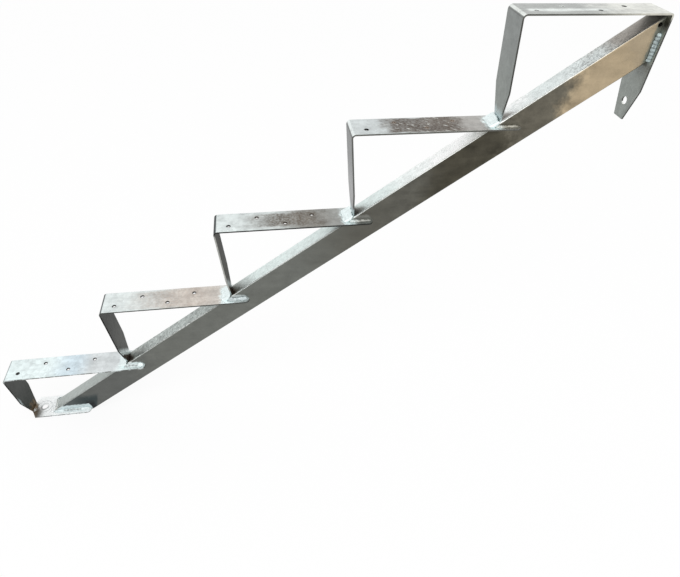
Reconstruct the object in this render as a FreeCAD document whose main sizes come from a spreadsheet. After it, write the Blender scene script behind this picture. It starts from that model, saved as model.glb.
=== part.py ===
"""Galvanised steel stair stringer: a raked spine tube that carries five bent strip steps."""
import FreeCAD
import Part
import os
import re

import Sketcher

# Driving dimensions, in millimetres and degrees
SIZES = {
    # Stair geometry
    "going": "260",  # run of one step
    "rise": "190",  # height of one step
    "board_thickness": "38",  # tread board that the first rise allows for
    "steps": "5",  # number of treads
    # Strip that the steps, the foot and the hanger are made of
    "strip_width": "60",
    "strip_thickness": "3",
    "bend_radius": "5",  # inside radius of the front bends
    "hanger_bend_radius": "2",  # inside radius of the bend above the hanger
    "riser_lean": "4.6",  # degrees that a riser leans forward at its top
    "end_width": "26",  # width of a tapered strip end
    "end_taper": "58",  # length of a tapered strip end
    "tongue_reach": "54",  # how far a tread's tongues run past its going
    "tongue_land": "2",  # straight end of a tongue, beside its rounded outer corner
    # Spine tube
    "spine_depth": "60",
    "spine_width": "38",
    "spine_wall": "3",
    "spine_corner": "4",
    "spine_drop": "4",  # top of the spine below a tread, at the next step's front line
    "vent_hole": "8",  # lets zinc and air through the tube's sides at its upper end
    "vent_setback": "6",  # vent centre in front of the hanger
    "vent_drop": "9.5",  # vent centre below the top of the tube
    # Foot plate
    "foot_length": "140",
    "foot_chamfer": "9",  # length of the front corner cuts
    "anchor_hole": "14",
    "anchor_setback": "37",  # anchor hole behind the front line of the first tread
    # Tread screw holes
    "screw_hole": "7",
    "screw_first": "30",  # first hole behind the front of the tread
    "screw_pitch": "55",
    "screw_stagger": "24",  # distance between the two rows
    # Hanger plate
    "hanger_length": "186",
    "hanger_hole": "14",
    "hanger_hole_drop": "155",
    # Fillet welds
    "step_weld_run": "9",  # in front of the slot's end, on the tread
    "step_weld_rise": "6",  # up the riser
    "tongue_weld_width": "6",
    "tongue_weld_rise": "8",
    "toe_weld_rise": "6",
    "riser_weld_leg": "6",
    "hanger_weld_leg": "6",
    "hanger_weld_gap": "9",  # between the vent and the top of the weld
}

doc = FreeCAD.newDocument("StairStringer")
sheet = doc.addObject("Spreadsheet::Sheet", "Sizes")
for row, (alias, text) in enumerate(SIZES.items(), start=1):
    sheet.set(f"A{row}", alias)
    sheet.set(f"B{row}", text)
    sheet.setAlias(f"B{row}", alias)
doc.recompute()

ALIAS = re.compile(r"\b(" + "|".join(SIZES) + r")\b")


def formula(text):
    """Return the text as an expression on the sheet's cells."""
    return ALIAS.sub(r"Sizes.\1", str(text))


def number(text):
    """Return the present value of a formula."""
    value = sheet.evalExpression(formula(text))
    return float(getattr(value, "Value", value))


# Shared geometry, as formulas on the sheet
SLOPE = "(rise / going)"
RAKE = f"sqrt(1 + {SLOPE}^2)"
LEAN = "tan(riser_lean)"
ACROSS = "(strip_thickness / cos(riser_lean))"
HANGER_FACE = "(steps * going - anchor_setback - strip_thickness)"
SPINE_START = f"((board_thickness + spine_drop) / {SLOPE} - anchor_setback)"
FOOT_FRONT = f"((rise - board_thickness - strip_thickness) * {LEAN} - anchor_setback)"
FOOT_END = f"({FOOT_FRONT} + foot_length)"
TONGUE_ROUND = "((strip_width - spine_width) / 2 - tongue_land)"


def front_of(step):
    """Front line of a tread."""
    return f"({step - 1} * going - anchor_setback)"


def top_of(step):
    """Top face of a tread."""
    return f"({step} * rise - board_thickness)"


def spine_top(place):
    """Height of the spine's top face at a place along the run."""
    return f"({SLOPE} * ({place} + anchor_setback) - board_thickness - spine_drop)"


def riser_drops(step):
    """Drops of a riser's front and rear lower edges below its tread."""
    if step == 1:
        drop = "(rise - board_thickness - strip_thickness)"
        return drop, drop
    front = f"((rise + spine_drop) / (1 + {SLOPE} * {LEAN}))"
    rear = f"((rise + spine_drop - {SLOPE} * {ACROSS}) / (1 + {SLOPE} * {LEAN}))"
    return front, rear


def new_body(label):
    body = doc.addObject("PartDesign::Body", label)
    body.Label = label
    return body


def new_sketch(body, name, role, offset=None):
    """Add a sketch on one of the body's own origin planes, at a formula's distance along its normal."""
    sketch = body.newObject("Sketcher::SketchObject", f"{body.Name}_{name}")
    plane = next(item for item in body.Origin.OriginFeatures if item.Role == role)
    sketch.AttachmentSupport = [(plane, "")]
    sketch.MapMode = "FlatFace"
    if offset is not None:
        sketch.setExpression(".AttachmentOffset.Base.z", formula(offset))
    return sketch


def place_point(sketch, item, point, at):
    """Tie one point of a sketch to the origin with two formulas."""
    for kind, text in zip(("DistanceX", "DistanceY"), at):
        index = sketch.addConstraint(Sketcher.Constraint(kind, -1, 1, item, point, number(text)))
        sketch.setExpression(f"Constraints[{index}]", formula(text))


def draw_outline(sketch, corners):
    """Draw a closed outline with straight sides through corners given as formulas."""
    spots = [FreeCAD.Vector(number(x), number(y), 0) for x, y in corners]
    first = sketch.GeometryCount
    for spot, following in zip(spots, spots[1:] + spots[:1]):
        sketch.addGeometry(Part.LineSegment(spot, following), False)
    for i in range(len(corners)):
        following = first + (i + 1) % len(corners)
        sketch.addConstraint(Sketcher.Constraint("Coincident", first + i, 2, following, 1))
    for i, corner in enumerate(corners):
        place_point(sketch, first + i, 1, corner)


def draw_circle(sketch, centre, diameter):
    """Draw a circle whose centre and diameter are formulas."""
    spot = FreeCAD.Vector(number(centre[0]), number(centre[1]), 0)
    up = FreeCAD.Vector(0, 0, 1)
    item = sketch.addGeometry(Part.Circle(spot, up, number(diameter) / 2), False)
    place_point(sketch, item, 3, centre)
    index = sketch.addConstraint(Sketcher.Constraint("Diameter", item, number(diameter)))
    sketch.setExpression(f"Constraints[{index}]", formula(diameter))


def pad(body, sketch, length, both_ways=False):
    feature = body.newObject("PartDesign::Pad", f"{sketch.Name}_pad")
    feature.Profile = sketch
    feature.Midplane = both_ways
    feature.setExpression("Length", formula(length))
    doc.recompute()
    return feature


def pocket(body, sketch, length=None, forward=False):
    """Cut a sketch through the body, both ways or forward along its normal, to a length or right through."""
    before = body.Shape.Volume
    feature = body.newObject("PartDesign::Pocket", f"{sketch.Name}_cut")
    feature.Profile = sketch
    feature.Midplane = not forward
    feature.Reversed = forward
    if length is None:
        feature.Type = "ThroughAll"
    else:
        feature.Type = "Length"
        feature.setExpression("Length", formula(length))
    doc.recompute()
    if not feature.Shape.Volume < before - 1e-6:
        raise RuntimeError(f"{feature.Name} cut nothing")
    return feature


def round_edges(body, name, radius, spots, axis):
    """Round the edges along one axis that pass through the given (first, second) places of the other two."""
    base = body.Tip
    others = [i for i in range(3) if i != axis]
    names = []
    for place in spots:
        target = [number(text) for text in place]
        for i, edge in enumerate(base.Shape.Edges, start=1):
            ends = [vertex.Point for vertex in edge.Vertexes]
            straight = len(ends) == 2 and all(abs(ends[0][k] - ends[1][k]) < 1e-5 for k in others)
            if straight and all(abs(ends[0][k] - target[j]) < 1e-4 for j, k in enumerate(others)):
                names.append(f"Edge{i}")
    if len(names) != len(spots):
        raise RuntimeError(f"{body.Label}: {len(names)} of {len(spots)} edges found to round")
    feature = body.newObject("PartDesign::Fillet", f"{body.Name}_{name}")
    feature.Base = (base, names)
    feature.setExpression("Radius", formula(radius))
    doc.recompute()
    return feature


def taper_end(body, name, lower_edge, from_place, length=None):
    """Crop both corners of a strip that hangs down to lower_edge, back to the width of a tapered end."""
    sketch = new_sketch(body, name, "YZ_Plane", from_place)
    start = f"({lower_edge} + end_taper)"
    below = f"({lower_edge} - strip_thickness)"
    for side in (1, -1):
        edge, outside = f"{side} * strip_width / 2", f"{side} * (strip_width / 2 + strip_thickness)"
        inner = f"{side} * end_width / 2"
        draw_outline(sketch, [
            (edge, start), (inner, lower_edge), (inner, below), (outside, below), (outside, start),
        ])
    pocket(body, sketch, length, forward=True)


def fork_end(body, root, tip):
    """Slot the end of a strip for the spine, and round the outer corners of the two tongues."""
    sketch = new_sketch(body, "slot", "XY_Plane")
    past = f"({tip} + strip_thickness)"
    half = "spine_width / 2"
    draw_outline(sketch, [(root, f"-{half}"), (past, f"-{half}"), (past, half), (root, half)])
    pocket(body, sketch)
    round_edges(body, "tongues", TONGUE_ROUND, [(tip, "strip_width / 2"), (tip, "-strip_width / 2")], 2)


def drill_tread(body, step):
    """Drill the four staggered screw holes of a tread."""
    sketch = new_sketch(body, "screws", "XY_Plane")
    for i in range(4):
        side = "-" if i % 2 == 0 else ""
        along = f"{front_of(step)} + screw_first + {i} * screw_pitch"
        draw_circle(sketch, (along, f"{side}screw_stagger / 2"), "screw_hole")
    pocket(body, sketch)


def riser_corners(step):
    """Inside corner of a step's front bend, then the riser's rear and front lower corners."""
    front, top = front_of(step), top_of(step)
    front_drop, rear_drop = riser_drops(step)
    inside = (f"{front} + {LEAN} * strip_thickness + {ACROSS}", f"{top} - strip_thickness")
    rear = (f"{front} + {LEAN} * {rear_drop} + {ACROSS}", f"{top} - {rear_drop}")
    fore = (f"{front} + {LEAN} * {front_drop}", f"{top} - {front_drop}")
    return inside, rear, fore


# Spine tube, cut level at the ground and upright at the hanger
def spine_outline(inset, start, end):
    """Side outline of the tube, or of its bore, between two level and upright cuts."""
    upper = f"(board_thickness + spine_drop + {inset} * {RAKE})"
    lower = f"(board_thickness + spine_drop + (spine_depth - {inset}) * {RAKE})"
    return [
        (f"({start} + {upper}) / {SLOPE} - anchor_setback", start),
        (f"({start} + {lower}) / {SLOPE} - anchor_setback", start),
        (end, f"{SLOPE} * ({end} + anchor_setback) - {lower}"),
        (end, f"{SLOPE} * ({end} + anchor_setback) - {upper}"),
    ]


spine = new_body("spine_tube")
sketch = new_sketch(spine, "side", "XZ_Plane")
corners = spine_outline("0", "0", HANGER_FACE)
draw_outline(sketch, corners)
pad(spine, sketch, "spine_width", both_ways=True)
bar, raked = spine.Tip, []
for i, edge in enumerate(bar.Shape.Edges, start=1):
    run = edge.Vertexes[1].Point - edge.Vertexes[0].Point
    if abs(run.x) > 1e-6 and abs(run.z) > 1e-6:
        raked.append(f"Edge{i}")
rounding = spine.newObject("PartDesign::Fillet", "spine_tube_corners")
rounding.Base = (bar, raked)
rounding.setExpression("Radius", "Sizes.spine_corner")
doc.recompute()
sketch = new_sketch(spine, "bore", "XZ_Plane")
draw_outline(sketch, spine_outline("spine_wall", "-spine_wall", f"({HANGER_FACE} + spine_wall)"))
pocket(spine, sketch, "spine_width - 2 * spine_wall")
sketch = new_sketch(spine, "vent", "XZ_Plane")
VENT = (f"({HANGER_FACE} - vent_setback)", f"({spine_top(f'{HANGER_FACE} - vent_setback')} - vent_drop)")
draw_circle(sketch, VENT, "vent_hole")
pocket(spine, sketch)

# Foot plate, forked for the tube's lower end
foot = new_body("foot_plate")
sketch = new_sketch(foot, "plan", "XY_Plane")
half, nose = "strip_width / 2", "end_width / 2"
draw_outline(sketch, [
    (FOOT_FRONT, f"-{nose}"), (f"{FOOT_FRONT} + foot_chamfer", f"-{half}"), (FOOT_END, f"-{half}"),
    (FOOT_END, half), (f"{FOOT_FRONT} + foot_chamfer", half), (FOOT_FRONT, nose),
])
pad(foot, sketch, "strip_thickness")
fork_end(foot, SPINE_START, FOOT_END)
sketch = new_sketch(foot, "anchor", "XY_Plane")
draw_circle(sketch, ("0", "0"), "anchor_hole")
pocket(foot, sketch)

# Step brackets, each a strip bent once and forked round the tube
nodes = [spine, foot]
last = int(number("steps"))
SLOT_ROOT = f"((spine_drop - strip_thickness) / {SLOPE})"
for step in range(1, last):
    body = new_body(f"step_bracket_{step}")
    front, top = front_of(step), top_of(step)
    tip = f"({front} + going + tongue_reach)"
    inside, rear, fore = riser_corners(step)
    sketch = new_sketch(body, "side", "XZ_Plane")
    draw_outline(sketch, [(front, top), (tip, top), (tip, f"{top} - strip_thickness"), inside, rear, fore])
    pad(body, sketch, "strip_width", both_ways=True)
    round_edges(body, "outer_bend", "bend_radius + strip_thickness", [(front, top)], 1)
    round_edges(body, "inner_bend", "bend_radius", [inside], 1)
    taper_end(body, "taper", f"({fore[1]})", front)
    fork_end(body, f"{front} + going + {SLOT_ROOT}", tip)
    drill_tread(body, step)
    nodes.append(body)

# Top bracket, a strip bent twice, with the hanger that bolts to the landing
body = new_body("top_bracket")
front, top = front_of(last), top_of(last)
back, low = f"({front} + going)", f"({top} - hanger_length)"
inside, rear, fore = riser_corners(last)
behind = (f"{back} - strip_thickness", f"{top} - strip_thickness")
sketch = new_sketch(body, "side", "XZ_Plane")
draw_outline(sketch, [(front, top), (back, top), (back, low), (behind[0], low), behind, inside, rear, fore])
pad(body, sketch, "strip_width", both_ways=True)
round_edges(body, "outer_bend", "bend_radius + strip_thickness", [(front, top)], 1)
round_edges(body, "inner_bend", "bend_radius", [inside], 1)
round_edges(body, "hanger_outer_bend", "hanger_bend_radius + strip_thickness", [(back, top)], 1)
round_edges(body, "hanger_inner_bend", "hanger_bend_radius", [behind], 1)
middle = f"({front} + going / 2)"
taper_end(body, "riser_taper", f"({fore[1]})", front, "going / 2")
taper_end(body, "hanger_taper", low, middle)
drill_tread(body, last)
sketch = new_sketch(body, "bolt", "YZ_Plane", middle)
draw_circle(sketch, ("0", f"{top} - hanger_hole_drop"), "hanger_hole")
pocket(body, sketch, forward=True)
nodes.append(body)


# Fillet welds
def cross_weld(label, corners, width):
    """Weld laid across the strip, drawn from the side."""
    body = new_body(label)
    sketch = new_sketch(body, "side", "XZ_Plane")
    draw_outline(sketch, corners)
    pad(body, sketch, width, both_ways=True)
    nodes.append(body)


def weld_pair(label, role, corners, start, length):
    """Two welds, one on each side of the spine, as one group of separate beads."""
    near = new_body(f"{label}_near")
    sketch = new_sketch(near, "section", role, start)
    draw_outline(sketch, corners)
    pad(near, sketch, length)
    far = doc.addObject("Part::Mirroring", f"{label}_far")
    far.Source = near
    far.Normal = FreeCAD.Vector(0, 1, 0)
    pair = doc.addObject("Part::Compound", label)
    pair.Label = label
    pair.Links = [near, far]
    nodes.append(pair)


def side_bead(top):
    """Section of a bead along the spine's near side, on a strip whose top face is given."""
    root, toe = f"-{SIDE}", f"-({SIDE} + tongue_weld_width)"
    return [(root, top), (toe, top), (root, f"{top} + tongue_weld_rise")]


FLAT = "(spine_width - 2 * spine_corner)"
SIDE = "spine_width / 2"
SHOULDER = f"(spine_drop + spine_corner * {RAKE})"
for step in range(1, last):
    line, top = f"({front_of(step)} + going)", top_of(step)
    inside, rear, fore = riser_corners(step + 1)
    root = f"({line} + {SLOT_ROOT})"
    crest = (f"{fore[0]} - {LEAN} * step_weld_rise", f"{fore[1]} + step_weld_rise")
    run = [(f"{root} - step_weld_run", top), (root, top), (root, f"{top} - strip_thickness"), fore, crest]
    cross_weld(f"step_weld_{step}", run, FLAT)
    start = f"({line} + ({SHOULDER} + tongue_weld_rise) / {SLOPE})"
    end = f"({line} + tongue_reach - {TONGUE_ROUND} / 4)"
    weld_pair(f"tongue_welds_{step}", "YZ_Plane", side_bead(top), start, f"{end} - {start}")

start = f"({SPINE_START} + (spine_corner * {RAKE} + strip_thickness + tongue_weld_rise) / {SLOPE})"
end = f"({FOOT_END} - {TONGUE_ROUND} / 4)"
top = "strip_thickness"
weld_pair("foot_side_welds", "YZ_Plane", side_bead(top), start, f"{end} - {start}")

crest = "(strip_thickness + toe_weld_rise)"
cross_weld("foot_toe_weld", [
    (f"{SPINE_START} - toe_weld_rise", top), (SPINE_START, top), (SPINE_START, "0"),
    (f"{SPINE_START} + {crest} / {SLOPE}", crest),
], FLAT)

heel = f"({FOOT_FRONT} + {ACROSS})"
cross_weld("riser_1_weld", [
    (heel, top), (f"{heel} + riser_weld_leg", top),
    (f"{heel} - {LEAN} * riser_weld_leg", f"{top} + riser_weld_leg"),
], "end_width")

bottom = f"({spine_top(HANGER_FACE)} - (spine_depth - spine_corner) * {RAKE})"
crown = f"({VENT[1]} - vent_hole / 2 - hanger_weld_gap)"
bead = [
    (HANGER_FACE, f"-{SIDE}"), (f"{HANGER_FACE} - hanger_weld_leg", f"-{SIDE}"),
    (HANGER_FACE, f"-({SIDE} + hanger_weld_leg)"),
]
weld_pair("hanger_welds", "XY_Plane", bead, bottom, f"{crown} - {bottom}")

# Test every object, then write one file for each piece
doc.recompute()
for item in doc.Objects:
    if "Invalid" in item.State or "Error" in item.State:
        raise RuntimeError(f"{item.Name} failed: {item.State}")
for node in nodes:
    if node.Shape.isNull() or not node.Shape.isValid():
        raise RuntimeError(f"{node.Label} has no valid shape")
os.makedirs("parts", exist_ok=True)
for node in nodes:
    node.Shape.exportStep(f"parts/{node.Label}.step")
    box = node.Shape.BoundBox
    print(node.Label, len(node.Shape.Solids), "solids", round(node.Shape.Volume, 1), "mm3",
          [round(v, 2) for v in (box.XMin, box.XMax, box.YMin, box.YMax, box.ZMin, box.ZMax)])
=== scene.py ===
"""Galvanised steel stair stringer: soft edged steel, lumpy welds, stained zinc, light and camera."""
import logging
import math
from dataclasses import dataclass, field
from enum import Enum
from typing import Any, Iterable, Optional, Sequence, Union

import bpy
from mathutils import Matrix, Vector, noise


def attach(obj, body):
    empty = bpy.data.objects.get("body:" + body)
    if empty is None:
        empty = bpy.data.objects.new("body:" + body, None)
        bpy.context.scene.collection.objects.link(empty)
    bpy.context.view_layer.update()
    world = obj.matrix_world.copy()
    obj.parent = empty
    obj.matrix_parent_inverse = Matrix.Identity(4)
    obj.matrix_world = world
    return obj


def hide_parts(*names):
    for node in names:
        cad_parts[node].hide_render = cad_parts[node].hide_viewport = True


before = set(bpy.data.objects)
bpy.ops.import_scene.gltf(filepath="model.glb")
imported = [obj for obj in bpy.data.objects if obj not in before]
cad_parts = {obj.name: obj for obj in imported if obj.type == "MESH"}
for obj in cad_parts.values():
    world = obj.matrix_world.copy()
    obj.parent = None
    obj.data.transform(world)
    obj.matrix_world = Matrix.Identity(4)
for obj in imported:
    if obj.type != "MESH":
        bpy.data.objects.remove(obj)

LOG = logging.getLogger("stair_stringer")
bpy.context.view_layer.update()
BODY = "root"
MM = 0.001

Colour = tuple[float, float, float, float]
Number = Union[float, "Value"]
Shape = dict[str, Any]
Sizes = tuple[float, float, float]
Span = tuple[float, float]
Stops = tuple[tuple[float, float, Colour], ...]
WHITE: Colour = (1.0, 1.0, 1.0, 1.0)


class Slot(Enum):
    """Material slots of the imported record."""

    STEEL = "galvanised_steel"
    WELD = "galvanised_weld"


def tone(red: int, green: int, blue: int) -> Colour:
    """Turn a display colour into the linear colour that a shader takes.

    Args:
        red: Red from 0 to 255.
        green: Green from 0 to 255.
        blue: Blue from 0 to 255.

    Returns:
        The linear colour with full alpha.
    """
    parts = [part / 255 for part in (red, green, blue)]
    linear = [p / 12.92 if p <= 0.04045 else ((p + 0.055) / 1.055) ** 2.4 for p in parts]
    return (linear[0], linear[1], linear[2], 1.0)


# Stair geometry, in millimetres


@dataclass(frozen=True)
class Stair:
    """Sizes of the stringer that the dressing needs, in millimetres and degrees."""

    going: float = 260.0
    rise: float = 190.0
    board: float = 38.0
    setback: float = 37.0
    steps: int = 5
    strip: float = 3.0
    lean: float = 4.6
    spine_width: float = 38.0
    spine_depth: float = 60.0
    spine_corner: float = 4.0
    spine_drop: float = 4.0
    tongue_reach: float = 54.0
    foot_length: float = 140.0
    holes: int = 4
    hole_first: float = 30.0
    hole_pitch: float = 55.0
    hole_stagger: float = 24.0
    hole_radius: float = 3.5

    @property
    def slope(self) -> float:
        """Rise of the spine for each unit of run."""
        return self.rise / self.going

    @property
    def rake(self) -> float:
        """Length along the spine for each unit of run."""
        return math.hypot(1.0, self.slope)

    @property
    def lean_slope(self) -> float:
        """Run of a riser for each unit of drop."""
        return math.tan(math.radians(self.lean))

    @property
    def hanger_face(self) -> float:
        """Place along the run of the hanger's front face."""
        return self.steps * self.going - self.setback - self.strip

    @property
    def foot_front(self) -> float:
        """Place along the run of the foot plate's front end."""
        return (self.rise - self.board - self.strip) * self.lean_slope - self.setback

    @property
    def foot_end(self) -> float:
        """Place along the run of the foot plate's rear end."""
        return self.foot_front + self.foot_length

    @property
    def spine_start(self) -> float:
        """Place along the run where the spine's top face meets the ground."""
        return (self.board + self.spine_drop) / self.slope - self.setback

    def front(self, step: int) -> float:
        """Front line of a tread."""
        return (step - 1) * self.going - self.setback

    def top(self, step: int) -> float:
        """Top face of a tread."""
        return step * self.rise - self.board

    def hole(self, index: int) -> tuple[float, float]:
        """Place of a screw hole behind the tread's front line and across it."""
        side = 0.5 if index % 2 else -0.5
        return self.hole_first + index * self.hole_pitch, side * self.hole_stagger

    def spine_top(self, place: float) -> float:
        """Height of the spine's top face at a place along the run."""
        return self.slope * (place + self.setback) - self.board - self.spine_drop


STAIR = Stair()


# Shader maths


class Value:
    """A socket of a node tree; arithmetic on it adds Math nodes."""

    def __init__(self, bench: "Bench", socket: bpy.types.NodeSocket) -> None:
        """Wrap a socket of a bench's tree."""
        self.bench = bench
        self.socket = socket

    def math(self, operation: str, first: Number, second: Number = 0.0) -> "Value":
        """Add a Math node.

        Args:
            operation: The Math node's operation.
            first: First term.
            second: Second term.

        Returns:
            The result's socket.
        """
        made = self.bench.node("ShaderNodeMath", {"operation": operation}, {0: first, 1: second})
        return Value(self.bench, made.outputs[0])

    def __add__(self, other: Number) -> "Value":
        """Sum of this and another term."""
        return self.math("ADD", self, other)

    def __radd__(self, other: Number) -> "Value":
        """Sum of another term and this."""
        return self.math("ADD", other, self)

    def __sub__(self, other: Number) -> "Value":
        """Difference of this and another term."""
        return self.math("SUBTRACT", self, other)

    def __rsub__(self, other: Number) -> "Value":
        """Difference of another term and this."""
        return self.math("SUBTRACT", other, self)

    def __mul__(self, other: Number) -> "Value":
        """Product of this and another term."""
        return self.math("MULTIPLY", self, other)

    def __rmul__(self, other: Number) -> "Value":
        """Product of another term and this."""
        return self.math("MULTIPLY", other, self)

    def __abs__(self) -> "Value":
        """Size of this without its sign."""
        return self.math("ABSOLUTE", self)

    def __neg__(self) -> "Value":
        """This with its sign turned."""
        return self.math("MULTIPLY", self, -1.0)

    def root(self) -> "Value":
        """Square root of this."""
        return self.math("SQRT", self)

    def wave(self) -> "Value":
        """Sine of this, in radians."""
        return self.math("SINE", self)


class Bench:
    """A node tree, with the one method that makes its nodes."""

    def __init__(self, owner: Any) -> None:
        """Empty the tree of a material or a world.

        Args:
            owner: The material or the world.
        """
        owner.use_nodes = True
        self.owner = owner
        self.tree = owner.node_tree
        self.tree.nodes.clear()

    def node(self, kind: str, settings: dict[str, Any], sockets: dict[Any, Any]) -> bpy.types.Node:
        """Add a node.

        Args:
            kind: The node's type.
            settings: Its settings, which are set first.
            sockets: Values or links of its input sockets, by name or number.

        Returns:
            The new node.
        """
        made = self.tree.nodes.new(kind)
        for key, setting in settings.items():
            setattr(made, key, setting)
        for key, value in sockets.items():
            if isinstance(value, Value):
                self.tree.links.new(value.socket, made.inputs[key])
            else:
                made.inputs[key].default_value = value
        return made

    def out(self, kind: str, output: Any, settings: dict[str, Any], sockets: dict[Any, Any]) -> Value:
        """Add a node and wrap one of its outputs."""
        return Value(self, self.node(kind, settings, sockets).outputs[output])

    def split(self, vector: Value) -> tuple[Value, Value, Value]:
        """Split a vector into its three parts."""
        made = self.node("ShaderNodeSeparateXYZ", {}, {0: vector})
        return tuple(Value(self, made.outputs[i]) for i in range(3))


class Zinc(Bench):
    """A zinc surface's node tree: places in millimetres, facings, patterns and masks."""

    def __init__(self, name: str) -> None:
        """Start an empty material.

        Args:
            name: The material's name.
        """
        super().__init__(bpy.data.materials.new(name))
        metres = self.out("ShaderNodeTexCoord", "Object", {}, {})
        self.place = self.scale(metres, 1 / MM)
        self.along, self.across, self.height = self.split(self.place)
        normal = self.out("ShaderNodeNewGeometry", "Normal", {}, {})
        self.face_x, self.face_y, self.face_z = self.split(normal)

    def spread(self, sizes: Sequence[float], turn: float = 0.0) -> Value:
        """Stretch and turn the places.

        Args:
            sizes: Length along each axis, in millimetres, that becomes one unit.
            turn: Turn about the upright axis, in degrees.

        Returns:
            The mapped places.
        """
        scale = [1 / size for size in sizes]
        turned = self.out(
            "ShaderNodeMapping", 0, {}, {"Vector": self.place, "Rotation": (0.0, 0.0, math.radians(turn))}
        )
        return self.out("ShaderNodeMapping", 0, {}, {"Vector": turned, "Scale": scale})

    def cloud(self, size: float, detail: float = 2.0, where: Optional[Value] = None) -> Value:
        """Soft noise from 0 to 1.

        Args:
            size: Width of a blot in millimetres, or in units of the given places.
            detail: Number of finer layers.
            where: Places, if not the object's own.

        Returns:
            The noise value.
        """
        sockets = {"Vector": where or self.place, "Scale": 1 / size, "Detail": detail, "Roughness": 0.6}
        return self.out("ShaderNodeTexNoise", 0, {}, sockets)

    def sway(self, size: float, detail: float = 2.0) -> Value:
        """Soft noise from -0.5 to 0.5."""
        return self.cloud(size, detail) - 0.5

    def crystals(self, size: float) -> Value:
        """Random brightness from 0 to 1 for each zinc crystal, with wavy borders.

        Args:
            size: Width of a crystal in millimetres.

        Returns:
            The crystal's value.
        """
        sockets = {"Vector": self.place, "Scale": 1.7 / size, "Detail": 2.0}
        drift = self.out("ShaderNodeTexNoise", 1, {}, sockets)
        sockets = {0: drift, 1: (0.6 * size,) * 3, 2: self.place}
        moved = self.out("ShaderNodeVectorMath", 0, {"operation": "MULTIPLY_ADD"}, sockets)
        cells = self.out("ShaderNodeTexVoronoi", "Color", {}, {"Vector": moved, "Scale": 1 / size})
        return self.split(cells)[0]

    def rise(self, value: Value, low: float, high: float) -> Value:
        """Smooth step from 0 at one value to 1 at another.

        Args:
            value: The value that is tested.
            low: Where the step starts.
            high: Where the step ends.

        Returns:
            The step's value.
        """
        sockets = {"Value": value, "From Min": low, "From Max": high}
        return self.out("ShaderNodeMapRange", 0, {"interpolation_type": "SMOOTHSTEP"}, sockets)

    def fall(self, value: Value, low: float, high: float) -> Value:
        """Smooth step from 1 at one value to 0 at another."""
        return 1 - self.rise(value, low, high)

    def band(self, value: Value, start: float, end: float, soft: float) -> Value:
        """Soft band that is 1 between two values."""
        return self.rise(value, start - soft, start + soft) * self.fall(value, end - soft, end + soft)

    def facing(self, part: Value) -> Value:
        """Share from 0 to 1 by which a face turns to an axis, from that part of its normal."""
        return self.rise(part, 0.5, 0.8)

    def mix(self, share: Number, first: Any, second: Any) -> Value:
        """Mix two colours.

        Args:
            share: Share of the second colour.
            first: First colour or socket.
            second: Second colour or socket.

        Returns:
            The mixed colour.
        """
        return self.out("ShaderNodeMix", 2, {"data_type": "RGBA"}, {0: share, 6: first, 7: second})

    def fade(self, first: Any, second: Any, value: Value, low: float, high: float) -> Value:
        """Go from one colour to another while a value rises from low to high."""
        return self.mix(self.rise(value, low, high), first, second)

    def run_through(self, colour: Any, value: Value, stops: Stops) -> Value:
        """Take a colour through a row of others while a value rises.

        Args:
            colour: The first colour.
            value: The rising value.
            stops: For each next colour, where it starts, where it is full, and the colour.

        Returns:
            The colour at the value.
        """
        for low, high, later in stops:
            colour = self.fade(colour, later, value, low, high)
        return colour

    def vary(self, *parts: tuple[float, Value]) -> Value:
        """Brightness about 1 that noises move.

        Args:
            parts: The amount of each noise, and the noise from 0 to 1.

        Returns:
            The brightness.
        """
        shade: Any = 1.0
        for amount, value in parts:
            shade = shade + amount * (value - 0.5)
        return shade

    def scale(self, parts: Value, factor: Number) -> Value:
        """Multiply the three parts of a colour or a place by a value."""
        return self.out("ShaderNodeVectorMath", 0, {"operation": "SCALE"}, {0: parts, "Scale": factor})

    def finish(
        self, colour: Value, rough: Number, metal: float, relief: Value, depth: float, sheen: float = 1.0
    ) -> bpy.types.Material:
        """Close the tree with a metal surface.

        Args:
            colour: Base colour.
            rough: Roughness.
            metal: Share of metal.
            relief: Height of the surface's relief, from 0 to 1.
            depth: Depth of the relief in millimetres.
            sheen: Share of the mirror that a face seen on edge keeps.

        Returns:
            The finished material.
        """
        bump = self.out("ShaderNodeBump", 0, {}, {"Height": relief, "Distance": depth * MM, "Strength": 1.0})
        sockets = {"Base Color": colour, "Roughness": rough, "Metallic": metal, "Normal": bump}
        sockets["Specular Tint"] = (sheen,) * 3 + (1.0,)
        surface = self.out("ShaderNodeBsdfPrincipled", 0, {}, sockets)
        self.node("ShaderNodeOutputMaterial", {}, {"Surface": surface})
        return self.owner


# Finishes


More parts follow.
